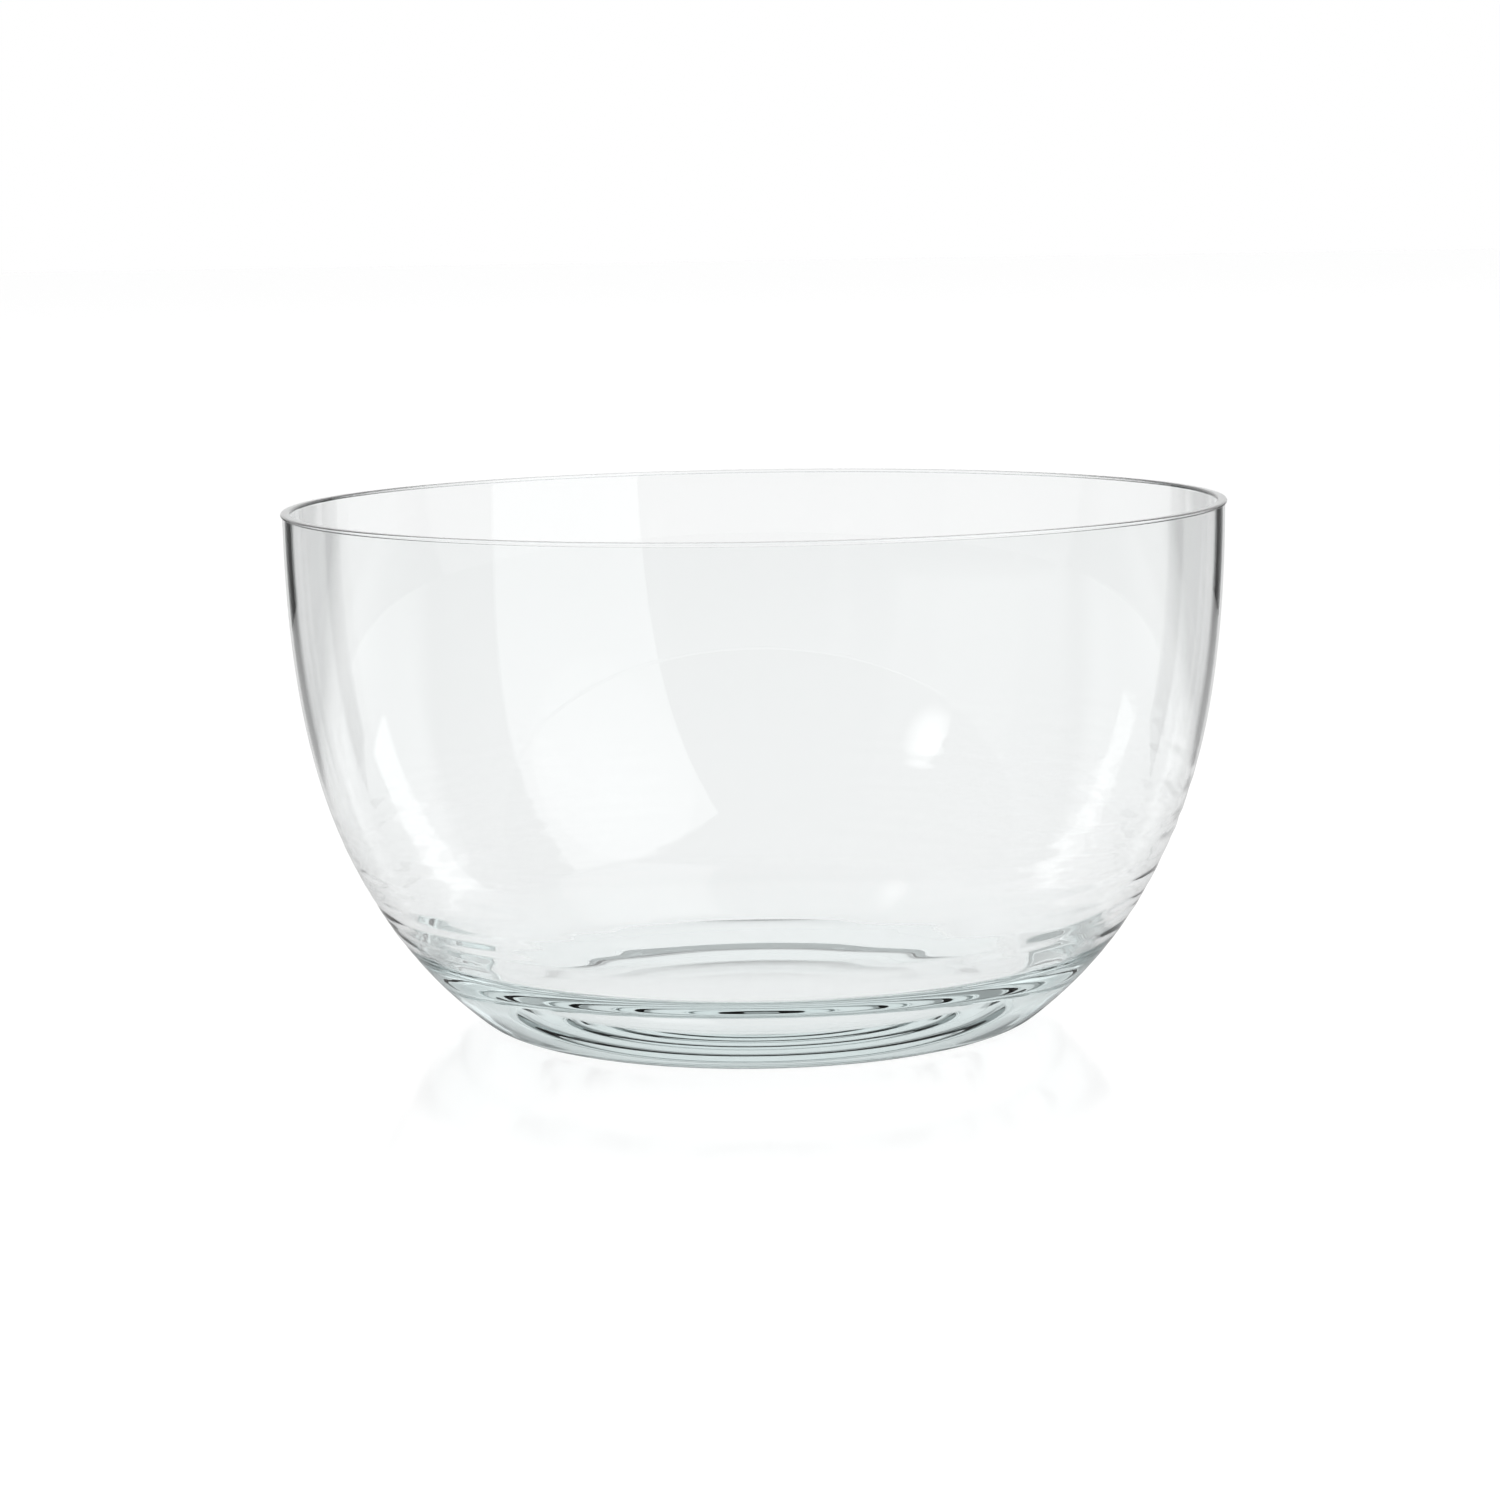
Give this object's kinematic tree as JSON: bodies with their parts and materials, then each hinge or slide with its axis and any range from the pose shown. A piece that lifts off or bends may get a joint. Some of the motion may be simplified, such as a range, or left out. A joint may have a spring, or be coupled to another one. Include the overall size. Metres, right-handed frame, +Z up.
{
  "type": "glass bowl",
  "caption": "Round clear glass bowl with a thin curved wall, a small lip at the rim, a thick base and a slightly hollowed foot to stand on, for serving salad or fruit.",
  "frame": {"origin": "middle of the foot, on the table", "axes": "+Z up along the bowl's axis of revolution, out of its mouth"},
  "size_m": [0.24, 0.24, 0.132],
  "materials": {
    "clear_glass": "clear soda-lime glass, fire-polished, with a faint cool tint in the thick base"
  },
  "bodies": {
    "root": {"bowl": "clear_glass"}
  },
  "joints": []
}
